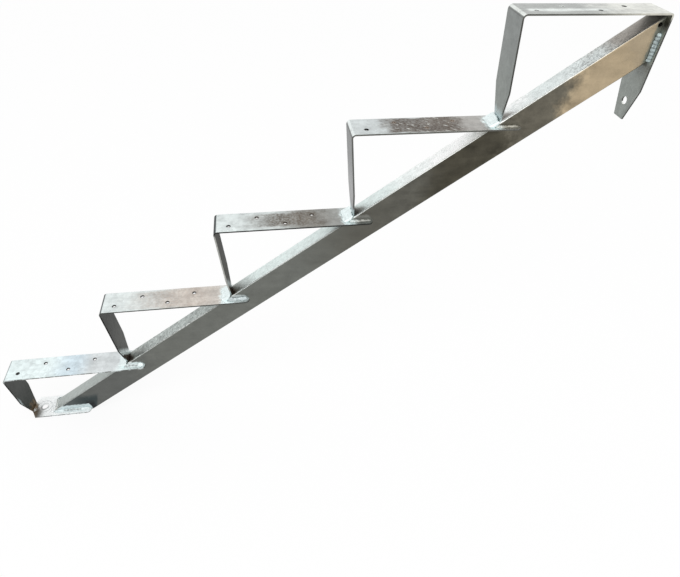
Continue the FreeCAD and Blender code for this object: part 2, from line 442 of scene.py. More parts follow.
@dataclass(frozen=True)
class Stain:
    """A brown worn patch on a tread's top, placed in millimetres from the tread's front."""

    colour: Colour = tone(124, 115, 105)
    start: float = 80.0
    end: float = 226.0
    soft: float = 20.0
    cover: float = 0.96
    border: float = 22.0
    fleck: float = 0.42
    speck_size: float = 4.4
    ragged_size: float = 22.0
    rim_span: Span = (120.0, 185.0)
    flakes: float = 0.0
    flake: Colour = tone(224, 226, 220)
    flake_sizes: Sizes = (15.0, 3.4, 8.0)
    flake_turn: float = 38.0

    def lay(self, zinc: Zinc, top: Value, run: Value, blots: Value) -> Value:
        """Lay the patch over a tread's top.

        Args:
            zinc: The strip's tree.
            top: Colour of the top.
            run: Distance from the tread's front.
            blots: Soft noise over the strip.

        Returns:
            The stained colour.
        """
        ragged = zinc.sway(self.ragged_size, 4.0)
        rim = zinc.rise(abs(zinc.across) + 18.0 * ragged, self.border - 5.0, self.border + 4.0)
        rim = rim * (0.9 - 0.6 * zinc.rise(run, *self.rim_span))
        patch = zinc.band(run + 70.0 * ragged, self.start, self.end, self.soft) * (1 - rim)
        speck = zinc.rise(zinc.cloud(self.speck_size, 3.0) + 0.5 * blots, 0.54, 0.96)
        top = zinc.mix(patch * self.cover * (1 - self.fleck * speck), top, self.colour)
        if self.flakes > 0:
            dashes = zinc.cloud(1.0, 2.0, zinc.spread(self.flake_sizes, self.flake_turn))
            top = zinc.mix(zinc.rise(dashes, 0.60, 0.67) * patch * self.flakes, top, self.flake)
        return top


@dataclass(frozen=True)
class StripFinish:
    """Zinc on one bent strip: a tone for each way that it faces, which paints its light and shade, and the
    marks on it.

    The spans of the top are distances behind the tread's front, and those of the riser are
    distances below the tread's top, in millimetres.
    """

    # The facing tones are painted light and shade: a bright top, darker sides, edges, fronts, rears and
    # undersides, lighter or darker low on the riser; side_end is a painted highlight towards the rear.
    top: Colour = tone(232, 243, 243)
    top_end: Colour = tone(216, 221, 222)
    side: Colour = tone(106, 108, 105)
    side_end: Optional[Colour] = None
    edge: Colour = tone(70, 72, 70)
    front: Colour = tone(158, 160, 159)
    front_low: Colour = tone(172, 173, 173)
    rear: Colour = tone(74, 76, 72)
    rear_low: Colour = tone(70, 72, 68)
    under: Colour = tone(96, 98, 95)
    # bend is painted light over the rounded bend, a highlight on most steps and painted shade on steps 2 and
    # 3; crease is a painted shade line beside it.
    bend: Colour = tone(224, 231, 231)
    crease: Colour = tone(118, 120, 118)
    # Top of the tongue behind the tread, darker on steps 2 to 4 as a painted reflection.
    tongue: Colour = tone(226, 233, 233)
    # Tone of each screw hole's wall and rim: painted shade, pale on the top step.
    holes: tuple[Colour, ...] = (tone(44, 44, 41),) * 4
    # Painted brown shade at the foot of the riser's rear face.
    riser_foot_shade: Colour = tone(106, 97, 88)
    # Painted light beside the tube's end and painted shade above it, on the hanger's front.
    beside: Colour = tone(186, 197, 194)
    above: Colour = tone(84, 84, 74)
    splash: Colour = tone(238, 249, 249)
    # Bright zinc run-off low on the riser, and also the painted highlight of the glint.
    run_off_and_glint: Colour = tone(196, 211, 213)
    rust_tone: Colour = tone(110, 90, 64)
    cool_tone: Colour = tone(214, 231, 241)
    # Painted highlight lane along the near side of a tread's top.
    lane_tone: Colour = tone(231, 236, 233)
    nick_tone: Colour = tone(234, 242, 243)
    stain: Optional[Stain] = None
    cool: float = 0.0
    lane: float = 0.0
    rust: float = 0.0
    drip: float = 0.0
    glint: float = 0.0
    nicks: float = 0.0
    sheen: float = 1.0
    spangle: float = 0.16
    mottle: float = 0.55
    metal: float = 0.9
    depth: float = 0.6
    blot_size: float = 24.0
    cloud_size: float = 90.0
    crystal_size: float = 6.5
    grain_size: float = 2.4
    ragged_size: float = 11.0
    streak_sizes: Sizes = (120.0, 7.0, 16.0)
    nick_sizes: Sizes = (13.0, 60.0, 60.0)
    hole_rim: Span = (0.3, 1.6)
    top_span: Span = (110.0, 190.0)
    side_span: Span = (110.0, 220.0)
    cool_span: Span = (112.0, 168.0)
    lane_width: Span = (-15.0, -2.0)
    lane_end: Span = (130.0, 180.0)
    splash_span: Span = (252.0, 286.0)
    tongue_span: Span = (272.0, 286.0)
    edge_span: Span = (5.0, 14.0)
    lower_span: Span = (40.0, 130.0)
    glint_span: Span = (74.0, 102.0)
    shine_span: Span = (144.0, 163.0)
    riser_foot_span: Span = (168.0, 173.0)
    rust_span: Span = (121.0, 140.0)
    wet_span: Span = (158.0, 174.0)

    def dress(self, name: str, step: int) -> bpy.types.Material:
        """Make the strip's material.

        Args:
            name: The material's name.
            step: Number of the step, which places the marks.

        Returns:
            The material.
        """
        zinc = Zinc(name)
        run = zinc.along - STAIR.front(step)
        drop = STAIR.top(step) - zinc.height
        blots = zinc.cloud(self.blot_size, 4.0)
        clouds = zinc.cloud(self.cloud_size, 3.0)
        crystals = zinc.crystals(self.crystal_size)
        grain = zinc.cloud(self.grain_size)
        streaks = zinc.cloud(1.0, 3.0, zinc.spread(self.streak_sizes))
        colour = self.riser(zinc, run, drop, step)
        tread = self.tread(zinc, run, blots, clouds, step)
        # Upward faces take the tread's tones and the rest take the riser's, so light and shade are painted
        # by facing.
        colour = zinc.fade(colour, tread, zinc.face_z, 0.90, 0.99)
        colour = self.bore(zinc, colour, run, drop)
        shade = zinc.vary(
            (self.spangle, crystals), (self.mottle, blots), (0.4, clouds), (0.35, streaks), (0.14, grain)
        )
        relief = 0.55 * blots + 0.25 * grain + 0.2 * crystals
        rough = 0.34 + 0.14 * blots + 0.06 * crystals
        return zinc.finish(zinc.scale(colour, shade), rough, self.metal, relief, self.depth, self.sheen)

    def bore(self, zinc: Zinc, colour: Value, run: Value, drop: Value) -> Value:
        """Paint shade on the walls of the screw holes, with a soft rim round each; a pale tone, as on the
        top step, lightens them instead.

        Args:
            zinc: The strip's tree.
            colour: Colour of the strip.
            run: Distance from the tread's front.
            drop: Distance below the tread's top.

        Returns:
            The new colour.
        """
        above = zinc.fall(drop, STAIR.strip + 0.5, STAIR.strip + 1.5)
        inner, outer = (STAIR.hole_radius + width for width in self.hole_rim)
        for index, wall in enumerate(self.holes):
            ahead, across = STAIR.hole(index)
            off, aside = run - ahead, zinc.across - across
            reach = (off * off + aside * aside).root()
            colour = zinc.mix(zinc.fall(reach, inner, outer) * above, colour, wall)
        return colour

    def riser(self, zinc: Zinc, run: Value, drop: Value, step: int) -> Value:
        """Colour of every face but the top, painted light and shade by the way each face turns, with painted
        light along the bend and the riser's lower end.

        Args:
            zinc: The strip's tree.
            run: Distance from the tread's front.
            drop: Distance below the tread's top.
            step: Number of the step.

        Returns:
            The colour.
        """
        ragged = zinc.sway(self.ragged_size, 3.0)
        lower = zinc.rise(drop + 40.0 * ragged, *self.lower_span)
        # Side, edge, underside, rear and front tones: painted shade and light by facing.
        colour = zinc.fade(self.side, self.side_end or self.side, run, *self.side_span)
        if self.nicks > 0:
            nicks = zinc.rise(zinc.cloud(1.0, 2.0, zinc.spread(self.nick_sizes)), 0.47, 0.57)
            colour = zinc.mix(nicks * self.nicks, colour, self.nick_tone)
        colour = zinc.fade(colour, self.edge, drop, *self.edge_span)
        colour = zinc.fade(colour, self.under, -zinc.face_z, 0.55, 0.85)
        behind = zinc.facing(zinc.face_x)
        colour = zinc.mix(behind, colour, zinc.mix(lower, self.rear, self.rear_low))
        front = zinc.mix(lower, self.front, self.front_low)
        colour = zinc.mix(zinc.facing(-zinc.face_x), colour, front)
        # Painted highlight: a glint on the riser's rear near its near edge.
        if self.glint > 0:
            near = zinc.fall(zinc.across + 6.0 * ragged, -28.0, -24.0)
            spot = zinc.band(drop, *self.glint_span, 9.0) * near
            colour = zinc.mix(behind * spot * self.glint, colour, self.run_off_and_glint)
        if self.drip > 0:
            # Painted brown shade where the riser's rear meets the tube, with the drip's bright zinc just
            # above it.
            trail = drop - 1.05 * zinc.across + 12.0 * ragged
            colour = zinc.mix(behind * zinc.rise(trail, *self.riser_foot_span), colour, self.riser_foot_shade)
            shine = zinc.rise(trail, *self.shine_span) * zinc.fall(trail, *self.riser_foot_span)
            shine = shine * zinc.fall(zinc.across, 12.0, 20.0)
            colour = zinc.mix(behind * shine * self.drip, colour, self.splash)
        if self.rust > 0:
            worn = zinc.rise(drop + 60.0 * ragged, *self.rust_span) * zinc.fall(zinc.across, 6.0, 20.0)
            colour = zinc.mix(worn * self.rust, colour, self.rust_tone)
        else:
            wet = zinc.rise(drop + 30.0 * ragged, *self.wet_span) * zinc.fall(zinc.along, 1200.0, 1210.0)
            colour = zinc.mix(wet * (1 - behind) * 0.85, colour, self.run_off_and_glint)
        if step == STAIR.steps:
            colour = self.hanger(zinc, colour)
        # A painted shade line in the bend's crease, then painted light over the bend itself.
        ahead = zinc.rise(-zinc.face_x, 0.05, 0.2)
        colour = zinc.mix(ahead * zinc.band(zinc.face_z, 0.22, 0.42, 0.08), colour, self.crease)
        return zinc.fade(colour, self.bend, zinc.face_z, 0.5, 0.62)

    def hanger(self, zinc: Zinc, colour: Value) -> Value:
        """Paint light and shade on the hanger's front: painted light beside the tube's end, painted shade
        above it and a painted shadow below it.

        Args:
            zinc: The strip's tree.
            colour: Colour of the strip.

        Returns:
            The new colour.
        """
        line = STAIR.hanger_face
        face = zinc.rise(zinc.along, line - 2.0, line - 1.0) * zinc.facing(-zinc.face_x)
        top = STAIR.spine_top(line)
        low = top - STAIR.spine_depth * STAIR.rake
        colour = zinc.mix(face * zinc.band(zinc.height, low - 2.0, top - 22.0, 4.0), colour, self.beside)
        colour = zinc.mix(face * zinc.rise(zinc.height, top - 22.0, top - 10.0), colour, self.above)
        # Painted shadow under the tube's bottom.
        under = zinc.band(zinc.height, low - 7.0, low + 1.0, 2.0) * zinc.fall(abs(zinc.across), 17.0, 21.0)
        return zinc.mix(face * under * 0.8, colour, self.above)

    def tread(self, zinc: Zinc, run: Value, blots: Value, clouds: Value, step: int) -> Value:
        """Colour of the tread's top.

        Args:
            zinc: The strip's tree.
            run: Distance from the tread's front.
            blots: Soft noise over the strip.
            clouds: Larger soft noise.
            step: Number of the step.

        Returns:
            The colour.
        """
        top = zinc.fade(self.top, self.top_end, run + 60.0 * (blots - 0.5), *self.top_span)
        if self.cool > 0:
            cool = zinc.band(run + 60.0 * (clouds - 0.5), *self.cool_span, 24.0)
            top = zinc.mix(cool * self.cool, top, self.cool_tone)
        # Painted highlight: a bright lane along the tread's near side.
        if self.lane > 0:
            lane = zinc.band(zinc.across + 14.0 * (clouds - 0.5), *self.lane_width, 4.0)
            lane = lane * zinc.rise(run, 12.0, 22.0) * zinc.fall(run, *self.lane_end)
            top = zinc.mix(lane * self.lane, top, self.lane_tone)
        if self.stain:
            top = self.stain.lay(zinc, top, run, blots)
        if step < STAIR.steps:
            ragged = 26.0 * zinc.sway(self.ragged_size, 3.0)
            near = 1 - 0.65 * zinc.rise(zinc.across, 6.0, 24.0)
            splash = zinc.band(run + ragged, *self.splash_span, 6.0)
            top = zinc.mix(splash * near * 0.95, top, self.splash)
            # The tongue's tone, darker on steps 2 to 4, is a painted reflection.
            top = zinc.fade(top, self.tongue, run + 0.3 * ragged, *self.tongue_span)
        return top


@dataclass(frozen=True)
class FootFinish:
    """Zinc on the foot plate, with a bright top and darker sides as painted light and shade, grey rings
    round the anchor hole, a painted shadow at the hole's rim, painted shade by the riser and rust at its
    front.
    """

    top: Colour = tone(252, 255, 255)
    side: Colour = tone(176, 182, 182)
    ring: Colour = tone(182, 187, 188)
    # Painted shadow crescent at the anchor hole's rim.
    mark: Colour = tone(132, 136, 136)
    rust: Colour = tone(92, 78, 60)
    # Painted shade on the plate by the riser's foot.
    shade: Colour = tone(98, 95, 88)
    nick: Colour = tone(82, 86, 86)
    nick_sizes: Sizes = (15.0, 60.0, 60.0)
    rings: tuple[tuple[float, float, float], ...] = ((9.0, 10.4, 0.7), (16.2, 17.6, 0.8))
    hole_span: Span = (7.5, 9.0)
    mark_span: Span = (6.6, 9.0)
    shade_span: Span = (10.0, 34.0)
    rust_span: Span = (5.0, 15.0)
    metal: float = 0.2
    depth: float = 0.4

    def dress(self, name: str) -> bpy.types.Material:
        """Make the foot plate's material.

        Args:
            name: The material's name.

        Returns:
            The material.
        """
        zinc = Zinc(name)
        ragged = zinc.sway(9.0, 3.0)
        blots = zinc.cloud(20.0, 3.0)
        grain = zinc.cloud(2.4)
        reach = (zinc.along * zinc.along + zinc.across * zinc.across).root()
        inner, outer = (zinc.band(reach, *ring) for ring in self.rings)
        arcs = (inner + outer) * zinc.rise(zinc.cloud(15.0), 0.42, 0.54)
        nicks = zinc.rise(zinc.cloud(1.0, 2.0, zinc.spread(self.nick_sizes)), 0.50, 0.58)
        # The top and the sides take separate tones, painted light and shade.
        sides = zinc.fade(self.top, zinc.mix(nicks, self.side, self.nick), reach, *self.hole_span)
        colour = zinc.fade(sides, self.top, zinc.face_z, 0.3, 0.7)
        colour = zinc.mix(arcs * 0.9, colour, self.ring)
        # Painted shadow: a dark crescent on the near side of the anchor hole's rim.
        toward = zinc.fall(zinc.across + 0.3 * zinc.along, -3.0, 7.0)
        colour = zinc.mix(zinc.band(reach, *self.mark_span, 0.6) * toward * 0.8, colour, self.mark)
        # Painted shade on the plate by the riser's foot.
        start = zinc.along - STAIR.foot_front
        near = zinc.fall(zinc.across, -14.0, 4.0)
        colour = zinc.mix(zinc.fall(start + 12.0 * ragged, *self.shade_span) * near, colour, self.shade)
        worn = zinc.fall(start + 30.0 * ragged, *self.rust_span) * zinc.fall(zinc.across, -6.0, 10.0)
        colour = zinc.mix(worn * 0.8, colour, self.rust)
        shade = zinc.vary((0.12, blots), (0.08, grain))
        relief = 0.6 * blots + 0.4 * grain
        return zinc.finish(zinc.scale(colour, shade), 0.4 + 0.12 * blots, self.metal, relief, self.depth)


@dataclass(frozen=True)
class TubeFinish:
    """Zinc on the spine tube, with painted light, shade and reflections: places where its tones change are
    in millimetres along the run.
    """

    low_top: Colour = tone(177, 184, 181)
    # The last stop darkens the top under the top tread as painted shade.
    top_stops: Stops = (
        (490.0, 570.0, tone(226, 237, 235)),
        (790.0, 935.0, tone(253, 255, 254)),
        (1030.0, 1090.0, tone(224, 231, 230)),
        (1150.0, 1214.0, tone(172, 167, 160)),
    )
    # The side tones are painted reflections: dark along most of the tube, tan near the top and grey at the
    # hanger.
    low_side: Colour = tone(97, 99, 96)
    side_stops: Stops = (
        (220.0, 330.0, tone(111, 113, 108)),
        (640.0, 790.0, tone(95, 94, 87)),
        (860.0, 935.0, tone(73, 70, 60)),
        (1025.0, 1060.0, tone(103, 99, 88)),
    )
    tan: Colour = tone(179, 162, 134)
    dull_tan: Colour = tone(173, 158, 133)
    tan_span: Span = (1108.0, 1152.0)
    dull_span: Span = (1968.0, 1990.0)
    # Painted brown shade on the top behind each riser, darkest in the corner at its foot.
    riser_shadow: Colour = tone(82, 70, 56)
    corner_shade: Colour = tone(102, 92, 82)
    corner_shade_span: Span = (22.0, 36.0)
    riser_shadow_marks: tuple[tuple[float, float, float], ...] = (
        (0.42, 84.0, 0.8), (0.5, 68.0, 0.9), (0.5, 46.0, 0.7), (0.6, 34.0, 0.4),
    )
    # Painted highlight along the rounded top corners, also painted light on the top's lower end.
    lip_highlight: Colour = tone(253, 255, 251)
    # Painted grey reflection on the side just before the hanger.
    grey_end_reflection: Colour = tone(132, 133, 122)
    # Painted shade and reflection on the side above the foot, and a painted shadow just past its end.
    foot_side: Colour = tone(86, 91, 91)
    foot_shade: Colour = tone(56, 65, 66)
    foot_dark: Colour = tone(34, 38, 40)
    # Painted reflections of the foot plate, the tongues and their welds on the side above them.
    foot_reflection: Colour = tone(208, 221, 223)
    weld_reflections: tuple[Colour, ...] = (
        tone(226, 234, 234), tone(188, 194, 194), tone(128, 129, 123), tone(102, 99, 89),
    )
    streak_sizes: Sizes = (60.0, 40.0, 14.0)
    fleck_span: Span = (235.0, 500.0)
    pepper_span: Span = (1128.0, 1215.0)
    metal: float = 0.92
    depth: float = 0.5

    def dress(self, name: str) -> bpy.types.Material:
        """Make the tube's material.

        Args:
            name: The material's name.

        Returns:
            The material.
        """
        zinc = Zinc(name)
        blots = zinc.cloud(26.0, 4.0)
        grain = zinc.cloud(2.6)
        crystals = zinc.crystals(6.0)
        specks = zinc.sway(5.0, 3.0)
        # Tops and sides take separate tones, so light and shade are painted by facing.
        up = zinc.rise(zinc.face_z, 0.46, 0.74)
        colour = zinc.mix(up, self.side(zinc), self.top(zinc))
        # Painted highlight along the tube's rounded top corners.
        lip_highlight = zinc.band(abs(zinc.face_y), 0.12, 0.60, 0.1) * zinc.rise(zinc.face_z, 0.2, 0.3)
        lit = 0.3 + zinc.rise(zinc.along, 222.0, 250.0) * (0.5 + 0.2 * zinc.rise(zinc.along, 470.0, 490.0))
        lit = lit * (1 - 0.7 * zinc.rise(zinc.along, 1178.0, 1204.0))
        colour = zinc.mix(lip_highlight * lit, colour, self.lip_highlight)
        flecked = zinc.band(zinc.along, *self.fleck_span, 20.0) + 0.35
        peppered = zinc.rise(zinc.cloud(4.6, 1.0), 0.50, 0.60)
        peppered = peppered * zinc.band(zinc.along, *self.pepper_span, 20.0)
        shade = 1 + up * (flecked * (0.34 * (crystals - 0.5) + 0.8 * specks) - 0.3 * peppered)
        patchy = 0.6 + 0.9 * zinc.rise(zinc.along, 780.0, 900.0) * zinc.fall(zinc.along, 1130.0, 1180.0)
        streaks = zinc.cloud(1.0, 3.0, zinc.spread(self.streak_sizes)) - 0.5
        shade = shade + patchy * (0.8 * (blots - 0.5) * (1 - 0.6 * up) + 0.5 * streaks * (1 - up))
        shade = shade + 0.12 * (grain - 0.5) + 0.06 * (crystals - 0.5)
        relief = 0.6 * blots + 0.2 * grain + 0.2 * crystals
        rough = 0.30 + 0.14 * blots + 0.06 * crystals
        return zinc.finish(zinc.scale(colour, shade), rough, self.metal, relief, self.depth)

    def top(self, zinc: Zinc) -> Value:
        """Colour of the tube's top, with painted light at its lower end, painted brown shade behind each
        riser and painted shade under the top tread.

        Args:
            zinc: The tube's tree.

        Returns:
            The colour.
        """
        drift = zinc.along + 90.0 * zinc.sway(40.0, 3.0)
        start = zinc.along + 0.18 * zinc.across - STAIR.spine_start
        # Painted light on the top's lower end, beside the toe weld.
        colour = zinc.fade(self.lip_highlight, self.low_top, start, 8.5, 13.0)
        colour = zinc.run_through(colour, drift, self.top_stops)
        ragged = 20.0 * zinc.sway(12.0, 3.0)
        inner = zinc.fall(abs(zinc.across), 11.0, 16.0)
        # Painted brown shade behind each riser, darkest in the corner at its foot.
        for step, (cover, end, dark) in zip(range(2, STAIR.steps + 1), self.riser_shadow_marks):
            run = zinc.along - STAIR.front(step)
            behind = zinc.rise(run, 8.0, 16.0) * inner
            trail = run + 0.8 * zinc.across + ragged
            colour = zinc.mix(behind * zinc.fall(trail, 18.0, end) * cover, colour, self.riser_shadow)
            colour = zinc.mix(behind * zinc.fall(trail, *self.corner_shade_span) * dark, colour, self.corner_shade)
        return colour

    def side(self, zinc: Zinc) -> Value:
        """Colour of the tube's sides: painted reflections along them, painted shade above and past the foot,
        and a painted reflection of each strip and weld above it.

        Args:
            zinc: The tube's tree.

        Returns:
            The colour.
        """
        # Painted reflections along the side: dark tones, then tan near the top and grey at the hanger.
        drift = zinc.along + 90.0 * zinc.sway(60.0, 4.0) + 40.0 * zinc.sway(13.0, 3.0)
        colour = zinc.run_through(self.low_side, drift, self.side_stops)
        slant = zinc.along + 0.9 * zinc.height + 60.0 * zinc.sway(30.0, 3.0)
        tan = zinc.fade(self.tan, self.dull_tan, slant, *self.dull_span)
        colour = zinc.fade(colour, tan, drift, *self.tan_span)
        end = STAIR.hanger_face
        colour = zinc.fade(colour, self.grey_end_reflection, zinc.along + 8.0 * zinc.sway(7.0), end - 13.0, end - 7.0)
        ragged = 12.0 * zinc.sway(10.0, 3.0)
        # Painted shade on the side above the foot plate, lighter higher up.
        above_foot = zinc.fade(self.foot_side, self.foot_shade, zinc.along + ragged, 66.0, 112.0)
        above_foot = zinc.fade(above_foot, self.low_side, zinc.height + ragged, 42.0, 64.0)
        colour = zinc.fade(above_foot, colour, zinc.along - 0.286 * zinc.height, 125.0, 131.0)
        # Painted shadow on the side just past the foot's end.
        past = zinc.band(zinc.along, STAIR.foot_end - 6.0, STAIR.foot_end + 14.0, 3.0)
        colour = zinc.mix(past * zinc.fall(zinc.height + ragged, 20.0, 42.0), colour, self.foot_dark)
        # Painted reflection of each tongue and its weld on the side above it.
        for step, painted_reflection in enumerate(self.weld_reflections, 1):
            line = STAIR.front(step + 1)
            span = (line + 6.0, line + STAIR.tongue_reach)
            colour = self.painted_reflection(zinc, colour, painted_reflection, span, STAIR.top(step), 12.5 + ragged, 11.0)
        # Painted reflection of the foot plate and its weld on the side above it.
        span = (STAIR.spine_start, STAIR.foot_end + 3.0)
        return self.painted_reflection(zinc, colour, self.foot_reflection, span, STAIR.strip, 20.0 + ragged, 5.0)

    def painted_reflection(
        self, zinc: Zinc, colour: Value, painted_reflection: Colour, span: Span, base: float, reach: Value, taper: float
    ) -> Value:
        """Paint a bright reflection of a strip and weld over the side above it, narrowing to a point at its
        end.

        Args:
            zinc: The tube's tree.
            colour: Colour of the side.
            painted_reflection: Colour of the painted reflection.
            span: Where it starts and ends along the run.
            base: Height where it starts.
            reach: How far up it goes.
            taper: How far before its end it starts to narrow.

        Returns:
            The new colour.
        """
        start, end = span
        limit = reach * zinc.fall(zinc.along, end - taper, end + 4.0)
        above = zinc.height - base
        inside = zinc.rise(above, -2.0, 0.0) * zinc.fall(above - limit, -3.0, 1.5)
        return zinc.mix(inside * zinc.band(zinc.along, start, end, 2.0), colour, painted_reflection)


@dataclass(frozen=True)
class WeldFinish:
    """Zinc over a lumpy bead, with dark pits, a row of painted shadow dashes along it, and painted shade
    between its ripples.
    """

    bead: Colour = tone(234, 244, 244)
    tail: Optional[Colour] = None
    tail_start: float = 0.0
    tail_fade: float = 14.0
    # Dark pits, also used as painted shade between the ripples.
    pit_and_ripple_shade: Colour = tone(84, 90, 90)
    pit_share: float = 0.35
    rust: Colour = tone(104, 86, 62)
    rust_share: float = 0.0
    # Painted shadow dashes along the bead.
    dash_shadow: Colour = tone(142, 150, 150)
    dash_shadow_start: float = 0.0
    dash_shadow_end: float = 0.0
    dash_shadow_pitch: float = 7.6
    dash_shadow_width: Span = (20.6, 23.2)
    weave: float = 0.0
    lump_size: float = 5.0
    metal: float = 0.9
    depth: float = 0.9

    def dress(self, name: str) -> bpy.types.Material:
        """Make the weld's material.

        Args:
            name: The material's name.

        Returns:
            The material.
        """
        zinc = Zinc(name)
        lumps = zinc.cloud(self.lump_size, 3.0)
        grain = zinc.cloud(1.5)
        pits = zinc.rise(zinc.cloud(6.5), 0.60, 0.70) * self.pit_share
        colour = self.bead
        if self.tail:
            place = zinc.along + 10.0 * (lumps - 0.5) - self.tail_start
            colour = zinc.fade(self.bead, self.tail, place, 0.0, self.tail_fade)
        colour = zinc.mix(pits, colour, self.pit_and_ripple_shade)
        # Painted shadow: a row of dark dashes along the bead where its ripples would shade.
        if self.dash_shadow_end > self.dash_shadow_start:
            beat = (zinc.along * (2 * math.pi / self.dash_shadow_pitch) + 3.0 * zinc.cloud(14.0)).wave()
            row = zinc.band(abs(zinc.across) + 6.0 * zinc.sway(16.0), *self.dash_shadow_width, 1.9)
            row = row * zinc.band(zinc.along, self.dash_shadow_start, self.dash_shadow_end, 2.0)
            colour = zinc.mix(row * (0.6 + 0.4 * zinc.rise(beat, -1.0, 1.0)), colour, self.dash_shadow)
        # Painted shade between the bead's ripples.
        if self.weave > 0:
            link = abs((zinc.height * (math.pi / self.weave) + 2.0 * lumps).wave())
            colour = zinc.mix(0.6 * zinc.fall(link, 0.1, 0.8), colour, self.pit_and_ripple_shade)
        if self.rust_share > 0:
            worn = zinc.rise(zinc.cloud(8.0, 3.0), 0.40, 0.55) * zinc.fall(zinc.across, 4.0, 16.0)
            colour = zinc.mix(worn * self.rust_share, colour, self.rust)
        colour = zinc.scale(colour, zinc.vary((0.5, lumps), (0.16, grain)))
        return zinc.finish(colour, 0.36 + 0.2 * grain, self.metal, 0.8 * lumps + 0.2 * grain, self.depth)


# Pieces


def dress_piece(
    thing: bpy.types.Object, material: bpy.types.Material, nodes: Iterable[str]
) -> None:
    """Dress an object, put it in place of its nodes and let it ride on the stringer.

    Args:
        thing: The object, at the origin.
        material: Its finish.
        nodes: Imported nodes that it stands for.
    """
    thing.data.materials.clear()
    thing.data.materials.append(material)
    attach(thing, BODY)
    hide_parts(*nodes)
    LOG.info("%s: %d faces, %s", thing.name, len(thing.data.polygons), material.name)


def apply_all(thing: bpy.types.Object) -> None:
    """Apply every modifier of an object.

    Args:
        thing: The object.
    """
    bpy.context.view_layer.objects.active = thing
    for modifier in list(thing.modifiers):
        bpy.ops.object.modifier_apply(modifier=modifier.name)


